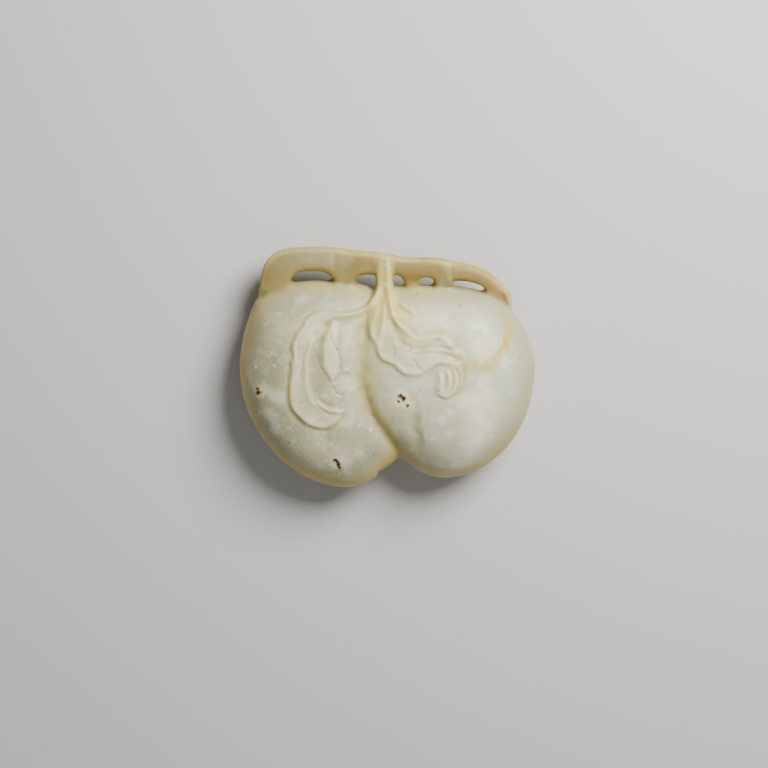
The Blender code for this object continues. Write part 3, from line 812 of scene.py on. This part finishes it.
def carveFront(mesh):
    # moves each point along its normal by the sum of all the lifts and depths, in full on the
    # front, and keeps the flats of the back; returns how stained each point is, and how much paler
    # it is painted, partly cream colour and partly painted sheen
    co = pull(mesh.vertices, "co", 3)
    normal = pull(mesh.vertex_normals, "vector", 3)
    x, y = co[:, 0] / hundredth, co[:, 1] / hundredth
    front = easeStep(*carvingForm["fullFront"], normal[:, 2])
    raised, leafCreamSheen = patchLift(x, y)
    drawn, stain = lineLift(x, y)
    wavy = carvingForm["handCut"] * (np.sin(x * 0.55 + 1.7 * np.sin(y * 0.21))
                                     * np.sin(y * 0.47 + 1.3 * np.sin(x * 0.27)))
    lift = raised + drawn - setBackDepth(x, y) + wavy + branchLift(x, y) - pitDepth(x, y)
    chipX, chipY, radius, depth = carvingForm["chip"]
    chip = depth * fall(np.hypot(x - chipX, y - chipY) * mmPerUnit, radius)
    co += normal * ((lift * front - chip) * mm)[:, None]
    co[:, 2] = np.maximum(co[:, 2], restDepth - backBulge)
    mesh.vertices.foreach_set("co", co.ravel())
    mesh.update()
    return co, normal, stain * front, leafCreamSheen * front


co, normal, stain, leafCreamSheen = carveFront(stone.data)
print("carved, deepest stain", round(float(stain.max()), 2))


# where the colours lie, kept on the points

tintForm = {
    # amber of the branch at places across the plan
    "branch": [
        (-46, 0.98), (-42, 0.88), (-38, 0.78), (-32, 0.84), (-24, 0.92), (-18, 1), (-12, 1.02),
        (-5, 1), (3, 1), (12, 1.1), (20, 1.05), (30, 1.15), (36, 1.15), (42, 1.05)],
    # amber and honey of the stem at shares of the way down it
    "stem": [(0, 0.8), (0.25, 0.76), (0.45, 0.6), (0.62, 0.28), (0.82, 0.12), (1, 0)],
    "stemHoney": [(0, 0.75), (0.25, 0.92), (0.45, 0.95), (0.62, 0.82), (0.82, 0.6), (1, 0)],
    # the stem's middle and the ridge along it, and how wide the stem is on the way down it
    "stemLine": [(-1.2, 36), (-1, 31), (-0.8, 26.5), (-0.8, 21), (-1.2, 14)],
    "stemWidth": [(0, 2.6), (0.4, 3), (1, 8)],
    "ridgeLine": [(-0.1, 35), (0.4, 31), (0.8, 27), (1.6, 23), (2.2, 19)],
    "stemRidge": -0.28,         # the round ridge of the stem is paler, a painted highlight where it catches the light
    "ridgeWidth": 1.5,
    "topHighlight": -0.24,           # and the facet along the top of the branch is paler too, a painted highlight where it faces the light
    "topAt": 0.45,              # how far inside the outline that facet's middle is, in mm
    # honey along the top facet, part of the same painted highlight
    "topHoneyHighlight": 0.5,
    # places with a honey tint: x, y, half width, half height, amount
    "honey": [
        (-4, 9, 4.5, 12, 0.45), (6, 20, 7, 5, 0.35), (-24, 27.6, 8, 1.2, 0.4),
        (12, 25.6, 9, 1.6, 0.4), (-9, 25, 4, 2, 0.35), (22, 7.5, 4, 3.5, 0.4),
        (30, 4.5, 7, 6, 0.28), (8, 13, 11, 8, 0.22), (21, -4.5, 4.5, 6, 0.25),
        # the last patch on the next line, at -20.4, 13, is painted shade in the leaves' hollow
        (-27.6, 13.4, 1.7, 1.3, 0.9), (-15.4, -6.2, 0.9, 0.8, 0.8), (-20.4, 13, 1.8, 2.8, 0.6),
        (-33, 0.8, 1, 1, 0.8), (-6.6, -7.3, 1.1, 2, 0.8), (-31.6, -9, 1.4, 7, 0.4),
        (24.2, 1.6, 0.9, 1.9, 0.95), (19.3, 5.7, 5, 0.9, 0.5), (-13.5, 17.8, 4.5, 1.3, 0.4),
        (1.5, -12.5, 3.5, 7, 0.24), (5.3, 9.5, 2.2, 2.8, 0.6), (-22.5, 1, 1, 6, 0.25),
        (7.5, 19, 3, 2, 0.45), (-39.5, 12, 1.5, 9, 0.15)],
    # places that are more amber than the rest, or less: x, y, half width, half height, amount
    "patches": [
        (-24.5, 36.2, 5.5, 1.9, -0.45), (-19.6, 35.8, 1.8, 3, -0.35), (-13.5, 35.2, 3, 2, -0.2),
        # the last patch on the next line, at 19.8, 34, is a painted highlight on the stub's bright
        # wedge
        (-43.5, 29, 2, 6.5, 0.32), (-37, 29.5, 5, 4.5, 0.05), (19.8, 34, 1.6, 2.6, -0.55),
        (19, 28.5, 2.8, 2.2, -0.3), (30, 31, 5, 1.6, -0.08), (13, 32.6, 6, 2.6, 0.14),
        (39.5, 24.5, 2.4, 2.6, 0.06), (7.6, 28.6, 2.4, 2.4, 0.45), (9, 23.5, 8, 3.6, 0.22),
        (12, 20, 5, 3, 0.1), (-9, 25.5, 4.5, 2.2, 0.2), (-4, 19, 2, 4.5, 0.18),
        (31, 24, 8, 1.5, 0.12)],
    # the thick places of the golden vein
    "veinBlobs": [
        (40.8, 13.2, 0.95, 2.2, 0.55), (39.7, 9, 0.8, 1.9, 0.95), (37.2, 4.8, 1.3, 1.3, 0.22),
        (34.6, 2, 1.6, 0.8, 0.18), (33.2, 1, 1.7, 0.6, 0.45)],
    "slotRim": 0.30,            # how much more amber the slots' edges are
    "slotRimWidth": 0.75,       # and how far that reaches, in mm
    "mostAmber": 1.2,
    # each of these starts and is full at these shares of a peach's reach
    "branchFrom": (0.965, 1.01),
    "leftBranchFrom": 0.92,     # left of here across the plan the branch starts sooner
    "leftOf": -32,
    "rimFrom": (0.8, 0.98),
    "edgeShadeFrom": (0.62, 0.98),
    "creaseWidth": 1.3,         # in mm, as are the next ones
    "rolledWidth": 2.4,         # the right peach's edge rolls into the crease, and the painted shade over it reaches this far
    "rolledShade": 0.8,              # how much of the crease's tint it takes as painted shade
    "veinCore": (0.42, 0.42),   # amount and width of the golden vein's core
    "veinSide": (0.34, 1.2),    # and of the softer band beside it
}


def keepTint(mesh, name, values):
    layer = mesh.attributes.new(name, "FLOAT", "POINT")
    layer.data.foreach_set("value", np.ascontiguousarray(values, dtype=np.float32))


def tintBranch(x, y, share, facing):
    # amber is the branch's own amount across and the stem's own amount down it, plus the patches
    # and a band along the slots, and less on the stem's ridge and the branch's top facet, both
    # painted highlights; honey is the stem's own amount plus a painted highlight on the top facet
    # and its own patches; onBranch is 1 on the branch
    start = np.where(x < tintForm["leftOf"], tintForm["leftBranchFrom"], tintForm["branchFrom"][0])
    onBranch = easeStep(start, tintForm["branchFrom"][1], share) * easeStep(16, 24, y)
    besideStem, down = nearestOnLine(x, y, np.array(tintForm["stemLine"]), 12)
    onStem = np.exp(-(besideStem / fromTable(down, tintForm["stemWidth"]))**4) * facing
    amber = onBranch * fromTable(x, tintForm["branch"])
    amber += (fromTable(down, tintForm["stem"]) - amber) * onStem
    besideRidge = nearestOnLine(x, y, np.array(tintForm["ridgeLine"]), 6)[0]
    amber += tintForm["stemRidge"] * fall(besideRidge, tintForm["ridgeWidth"]) * facing
    fromTop = nearestOnLine(x, y, smoothCurve(branchForm["upper"], 6), 6)[0] * mmPerUnit
    amber += tintForm["topHighlight"] * fall(fromTop - tintForm["topAt"], 0.4)
    amber += softPatches(x, y, tintForm["patches"]) * facing
    honey = onStem * fromTable(down, tintForm["stemHoney"])
    honey += tintForm["topHoneyHighlight"] * onBranch * fall(fromTop - tintForm["topAt"], 0.5)
    honey += softPatches(x, y, tintForm["honey"]) * facing
    for slot in branchForm["slots"]:
        near = nearestOnLine(x, y, smoothCurve(slot + slot[:1], 4), 4)[0] * mmPerUnit
        amber += (tintForm["slotRim"] * fall(near, tintForm["slotRimWidth"])
                  * easeStep(24.5, 28.5, y) * easeStep(0.985, 1.02, share) * (1 - onStem))
    return np.clip(amber, 0, tintForm["mostAmber"]), np.clip(honey, 0, 1), onBranch


def creaseTint(x, y):
    # exp(-(distance / width)^2) from the crease's lines, which is partly the stone's yellow in the
    # crease and partly painted shade of the valley, and again over the edge of the right peach that
    # rolls into it, lower down, as painted shade
    dist = np.minimum(nearestOnLine(x, y, curves["creaseUpper"], 9)[0],
                      nearestOnLine(x, y, curves["creaseLower"], 9)[0])
    beside = besideCrease(x, y)
    rolledShade = easeStep(-0.3, 0.2, beside) * fall(beside, tintForm["rolledWidth"])
    rolledShade *= easeStep(0, -14, y) * easeStep(-38, -32, y)
    return fall(dist * mmPerUnit, tintForm["creaseWidth"]) + tintForm["rolledShade"] * rolledShade


def veinTint(x, y):
    # a narrow core and a softer band, both exp(-(distance / width)^2) and weaker on the way down
    # the vein, and its thick places
    dist, along = nearestOnLine(x, y, curves["orangeVein"], 5)
    core, coreWidth = tintForm["veinCore"]
    side, sideWidth = tintForm["veinSide"]
    gold = core * fall(dist * mmPerUnit, coreWidth)
    gold += side * fall(dist * mmPerUnit, sideWidth - 0.2 * along)
    return gold * (1 - 0.35 * along) + softPatches(x, y, tintForm["veinBlobs"])


def tintStone(mesh, co, normal):
    # rim is the stone's yellow skin towards a peach's edge and partly painted shade, most on the
    # left and below, away from the light, and where the stone faces up; edge is painted shade,
    # greyer towards the outline, more on the right and at the branch's left end and less low on the
    # right; the left and low tint is painted shade that grows to the left and below; the other
    # tints have their own functions
    x, y = co[:, 0] / hundredth, co[:, 1] / hundredth
    share = nearerShare(x, y)
    facing = easeStep(-0.2, 0.3, normal[:, 2])
    amber, honey, onBranch = tintBranch(x, y, share, facing)
    keepTint(mesh, "honey", honey)
    keepTint(mesh, "amber", amber)
    turned = 1 - 0.38 * easeStep(0.45, 0.0, normal[:, 2]) - 0.2 * easeStep(0.0, -0.6, normal[:, 2])
    # the rim tint is partly the stone's yellow skin and partly painted shade, stronger to the lower
    # left, away from the light
    rimShadeLeftLow = 0.25 + 0.75 * easeStep(25, -20, x * 0.5 + y)
    rim = easeStep(*tintForm["rimFrom"], share) * (1 - onBranch)
    keepTint(mesh, "rim", rim * turned * rimShadeLeftLow)
    lowRight = easeStep(-24, -34, y) * easeStep(0, 12, x)
    leftEnd = easeStep(-27, -36, x) * easeStep(22, 28, y)
    shade = 1 + 0.3 * easeStep(20, 45, x) - 0.7 * lowRight + 0.8 * leftEnd
    # the edge tint is painted shade: greyer towards the peaches' outline, where the domes turn from
    # the light, and at the branch's left end
    keepTint(mesh, "edge", easeStep(*tintForm["edgeShadeFrom"], share) * shade)
    keepTint(mesh, "crease", np.clip(creaseTint(x, y), 0, 1.2) * facing)
    keepTint(mesh, "vein", veinTint(x, y) * facing)
    # painted shade: darker and warmer to the left and below, away from the light
    leftLowShade = easeStep(15, -30, x + 0.35 * y) + 0.5 * easeStep(-8, -36, y)
    keepTint(mesh, "leftLowShade", np.clip(leftLowShade, 0, 1))


tintStone(stone.data, co, normal)
keepTint(stone.data, "stain", stain)
keepTint(stone.data, "leafCreamSheen", leafCreamSheen)
co[:, 2] += midPlane        # the plan's middle is the CAD solid's, so only the height is to add
stone.data.vertices.foreach_set("co", co.ravel())
stone.data.update()
print("tints kept")


# the jade

jadeFinish = {
    "pale": (0.78, 0.78, 0.585),
    "grey": (0.55, 0.565, 0.405),
    # the darker pale and grey below are the pale and grey with painted shade to the left and below;
    # the darker pale is also the colour of the mottles, and the darker grey also paints the edge
    # shade
    "shadedPaleAndMottle": (0.485, 0.475, 0.275),
    "shadedGrey": (0.345, 0.345, 0.205),
    "fleck": (0.88, 0.88, 0.78),
    # the raised leaves' cream colour, partly painted sheen on their polished faces
    "leafCreamSheen": (0.86, 0.81, 0.54),
    # rim is the stone's yellow skin at the peaches' edges, also laid on as painted shade
    "rim": (0.56, 0.41, 0.085),
    # crease is partly the stone's yellow in the crease and partly painted shade of the valley
    "crease": (0.43, 0.37, 0.13),
    "amber": (0.265, 0.185, 0.03),
    "honey": (0.72, 0.61, 0.18),
    "stain": (0.52, 0.46, 0.14),
    "vein": (0.6, 0.42, 0.012),
    "pit": (0.05, 0.028, 0.004),
    "pitRim": (0.38, 0.23, 0.04),
    "speck": (0.3, 0.23, 0.07),
    "halo": (0.84, 0.72, 0.42),
    "glow": 0.9,
    "glowDepth": 0.0018,
    "glowReach": (1, 0.92, 0.66),
    # each noise: scale, detail and roughness
    "noises": {"cloud": (95, 4, 0.55), "veil": (330, 5, 0.6), "grain": (1900, 3, 0.6),
               "milk": (190, 3, 0.55), "mottle": (520, 4, 0.65), "flecks": (700, 2, 0.5),
               "patchy": (240, 4, 0.6), "fine": (1100, 4, 0.6), "shaken": (2300, 3, 0.6)},
    # veils over the ground: noise, where it starts and is full, most, colour
    "veils": [
        ("veil", 0.56, 0.78, 0.5, "fleck"), ("grain", 0.42, 0.62, 0.14, "fleck"),
        ("milk", 0.52, 0.68, 0.38, "fleck"), ("mottle", 0.50, 0.72, 0.30, "shadedPaleAndMottle"),
        ("flecks", 0.64, 0.76, 0.5, "fleck")],
    # tints kept on the points, each made uneven by a noise: name and colour, noise, where it
    # starts and is full, least and most
    "skins": [
        ("rim", "cloud", 0.36, 0.64, 0.608, 1.064), ("crease", "veil", 0.3, 0.7, 0.45, 0.9),
        ("amber", "patchy", 0.32, 0.68, 0.84, 1.06), ("honey", "veil", 0.3, 0.7, 0.5, 1.0),
        ("stain", "veil", 0.3, 0.7, 0.5, 1.15), ("vein", "fine", 0.30, 0.62, 0.5, 1.15)],
    # layers of spots: kind, how much wider than listed, how strong, colour
    "spotLayers": [
        ("halo", 1, 0.65, "halo"), ("white", 1, 0.5, "fleck"), ("small", 1, 0.65, "speck"),
        ("brown", 1.5, 0.75, "pitRim"), ("brown", 1, 1, "pit")],
    "shake": 0.00026,           # how far a spot's edge is shaken
    "edgeShadeCloud": 0.7,           # how much the painted edge shade takes from the pale clouds
    "edgeShadeGrey": 0.54,           # and how much grey it adds
}


class NodeBench:
    # short ways to add nodes to one material

    def __init__(self, name):
        self.material = bpy.data.materials.new(name)
        self.material.use_nodes = True
        self.nodes = self.material.node_tree.nodes
        self.links = self.material.node_tree.links
        self.nodes.clear()

    def add(self, kind, inputs=None, **settings):
        # the inputs get numbers, colours or the outputs of other nodes
        node = self.nodes.new(kind)
        for key, value in settings.items():
            setattr(node, key, value)
        for key, value in (inputs or {}).items():
            if isinstance(value, bpy.types.NodeSocket):
                self.links.new(value, node.inputs[key])
            else:
                node.inputs[key].default_value = value
        return node

    def sum(self, kind, a, b=0.0, clamp=False):
        node = self.add("ShaderNodeMath", {0: a, 1: b}, operation=kind, use_clamp=clamp)
        return node.outputs[0]

    def vector(self, kind, a, b=(0, 0, 0)):
        return self.add("ShaderNodeVectorMath", {0: a, 1: b}, operation=kind).outputs

    def noise(self, place, scale, detail, rough):
        inputs = {"Vector": place, "Scale": scale, "Detail": detail, "Roughness": rough}
        return self.add("ShaderNodeTexNoise", inputs).outputs["Fac"]

    def ramp(self, value, start, end, low=0.0, high=1.0):
        inputs = {"Value": value, "From Min": start, "From Max": end, "To Min": low, "To Max": high}
        node = self.add("ShaderNodeMapRange", inputs, interpolation_type="SMOOTHSTEP")
        return node.outputs["Result"]

    def tint(self, name):
        return self.add("ShaderNodeAttribute", attribute_name=name).outputs["Fac"]

    def blend(self, amount, below, above):
        low, high = ((*c, 1) if isinstance(c, tuple) else c for c in (below, above))
        node = self.add("ShaderNodeMix", {"Factor": amount, 6: low, 7: high}, data_type="RGBA")
        return node.outputs[2]

    def finish(self, shader):
        out = self.add("ShaderNodeOutputMaterial")
        self.links.new(shader.outputs[0], out.inputs["Surface"])
        return self.material


def spotMask(bench, place, x, y, radius, raggedness):
    # 1 inside a ragged spot on the front and 0 outside: distance to its middle, shaken by noise
    middle = (*(onStone([(x, y)])[0] * hundredth), 0.0)
    away = bench.vector("SUBTRACT", place, middle)[0]
    flat = bench.vector("MULTIPLY", away, (1, 1, 0))[0]
    far = bench.sum("ADD", bench.vector("LENGTH", flat)["Value"], raggedness)
    return bench.ramp(far, radius * mm, radius * 0.55 * mm)


spots = {
    # places in plan units as the camera sees them, and radius in mm
    "brown": [
        (-43.6, -8.6, 0.58), (-43.6, -7.3, 0.34), (4.5, -9.8, 0.52), (5.3, -10.7, 0.62),
        (4, -11.5, 0.32), (6.9, -12.9, 0.36), (-17.6, -31.3, 0.4), (-17, -32.1, 0.46),
        (-16.5, -32.8, 0.5), (-16.1, -33.8, 0.4)],
    "small": [
        (-33.1, -25.5, 0.32), (-32.8, 1, 0.42), (24.6, 20.7, 0.32), (8.1, 6.1, 0.36),
        (10.3, 24.6, 0.4), (44.5, 3.5, 0.25), (11, -8, 0.28), (3, -0.9, 0.34),
        (-28.8, -11.6, 0.34), (-16.8, 6.2, 0.34), (-17.9, -6.3, 0.34), (38.2, 6, 0.3),
        (-24, -8, 0.28), (-40.8, -9.7, 0.32), (16.9, -8, 0.3), (-1, 35.7, 0.36)],
    "white": [
        (-39.3, -8.3, 0.38), (-5.5, -21.1, 0.5), (31.7, -25.2, 0.36), (-44.3, 0, 0.38),
        (-36.4, -19.9, 0.34), (-15.2, -31.4, 0.3), (20.5, 13.8, 0.4)],
    "halo": [(-42.8, -8.2, 1.7), (5.2, -10.9, 1.9), (-17.1, -32, 1.9)],
}


def allSpots(bench, place, kind, grow, shaken):
    # the strongest of the kind's spots at each place
    together = None
    for spotX, spotY, radius in spots[kind]:
        mask = spotMask(bench, place, spotX, spotY, radius * grow, shaken)
        together = mask if together is None else bench.sum("MAXIMUM", together, mask)
    return together


def jadeColour(bench, place, noises):
    # pale clouds on grey, both darker and warmer to the left and below as painted shade, with fewer
    # clouds and more grey towards the outline as painted edge shade, then the veils, the skins and
    # the spots of the front, each blended over what is there
    finish = jadeFinish
    # the pale clouds thin out towards the outline as painted edge shade
    cloudy = bench.sum("SUBTRACT", bench.ramp(noises["cloud"], 0.36, 0.64),
                       bench.sum("MULTIPLY", bench.tint("edge"), finish["edgeShadeCloud"]), clamp=True)
    leftLowShade = bench.tint("leftLowShade")
    colour = bench.blend(cloudy, bench.blend(leftLowShade, finish["grey"], finish["shadedGrey"]),
                         bench.blend(leftLowShade, finish["pale"], finish["shadedPaleAndMottle"]))
    for name, start, full, most, over in finish["veils"]:
        colour = bench.blend(bench.ramp(noises[name], start, full, 0.0, most), colour, finish[over])
    colour = bench.blend(bench.tint("leafCreamSheen"), colour, finish["leafCreamSheen"])
    # painted edge shade: more grey towards the outline
    outerShade = bench.sum("MULTIPLY", bench.tint("edge"), finish["edgeShadeGrey"])
    colour = bench.blend(outerShade, colour, finish["shadedGrey"])
    for name, uneven, start, full, least, most in finish["skins"]:
        amount = bench.sum("MULTIPLY", bench.tint(name),
                           bench.ramp(noises[uneven], start, full, least, most), clamp=True)
        colour = bench.blend(amount, colour, finish[name])
    height = bench.add("ShaderNodeSeparateXYZ", {0: place}).outputs["Z"]
    onFront = bench.ramp(height, midPlane, midPlane + 1.5 * mm)
    shaken = bench.ramp(noises["shaken"], 0.25, 0.75, -finish["shake"], finish["shake"])
    for kind, grow, strength, over in finish["spotLayers"]:
        mask = bench.sum("MULTIPLY", allSpots(bench, place, kind, grow, shaken), onFront)
        colour = bench.blend(bench.sum("MULTIPLY", mask, strength), colour, finish[over])
    return colour


def jadeMaterial():
    # scatters light under its skin, is duller where it is stained or amber, and is finely uneven
    bench = NodeBench("carved_jade")
    place = bench.add("ShaderNodeTexCoord").outputs["Object"]
    noises = {name: bench.noise(place, *kind) for name, kind in jadeFinish["noises"].items()}
    rougher = bench.sum("MAXIMUM", bench.tint("stain"), bench.tint("amber"))
    dull = bench.sum("ADD", bench.ramp(noises["veil"], 0.3, 0.7, 0.40, 0.54),
                     bench.sum("MULTIPLY", rougher, 0.16), clamp=True)
    height = bench.sum("ADD", bench.sum("MULTIPLY", noises["veil"], 0.6),
                       bench.sum("MULTIPLY", noises["grain"], 0.25))
    bump = bench.add("ShaderNodeBump", {"Strength": 0.25, "Distance": 0.00012, "Height": height})
    shader = bench.add("ShaderNodeBsdfPrincipled", {
        "Base Color": jadeColour(bench, place, noises),
        "Subsurface Weight": jadeFinish["glow"],
        "Subsurface Radius": jadeFinish["glowReach"],
        "Subsurface Scale": jadeFinish["glowDepth"],
        "IOR": 1.6,
        "Specular IOR Level": 0.45,
        "Roughness": dull,
        "Normal": bump.outputs["Normal"],
    })
    return bench.finish(shader)


stone.name = "peach_jade"
stone.data.materials.append(jadeMaterial())
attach(stone, "root")
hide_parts("peach_carving")
sides = pull(stone.data.polygons, "loop_total", kind=int)
print("jade stone", int((sides - 2).sum()), "triangles")


# floor, light and camera

def paleFloor():
    size = studio["floorSize"]
    square = np.array([(-size, -size, 0), (size, -size, 0), (size, size, 0), (-size, size, 0)])
    floor = putMesh("floor", square, [(0, 1, 2, 3)])
    bench = NodeBench("floor_card")
    place = bench.add("ShaderNodeTexCoord").outputs["Object"]
    tone = bench.blend(bench.ramp(bench.noise(place, 3, 2, 0.5), 0.3, 0.7), studio["floor"],
                       tuple(c * 0.97 for c in studio["floor"]))
    shader = bench.add("ShaderNodeBsdfPrincipled", {"Base Color": tone, "Roughness": 0.9})
    floor.data.materials.append(bench.finish(shader))


def softLight(name, place, size, power, colour):
    data = bpy.data.lights.new(name, "AREA")
    data.shape, data.size, data.energy, data.color = "DISK", size, power, colour
    light = bpy.data.objects.new(name, data)
    light.location = place
    sight = Vector(studio["aim"]) - Vector(place)
    light.rotation_euler = sight.to_track_quat("-Z", "Y").to_euler()
    bpy.context.scene.collection.objects.link(light)


def setStudio():
    paleFloor()
    for light in studio["lights"]:
        softLight(*light)
    world = bpy.data.worlds.new("pale_room")
    world.use_nodes = True
    back = world.node_tree.nodes["Background"]
    back.inputs["Color"].default_value = studio["room"]
    back.inputs["Strength"].default_value = studio["roomStrength"]
    bpy.context.scene.world = world
    data = bpy.data.cameras.new("camera")
    data.lens, data.sensor_width = studio["lens"], studio["sensor"]
    data.clip_start = 0.01
    camera = bpy.data.objects.new("camera", data)
    camera.location = cameraSpot.tolist()
    camera.rotation_euler = (-lean, 0, 0)
    bpy.context.scene.collection.objects.link(camera)
    bpy.context.scene.camera = camera


setStudio()
print("studio set")
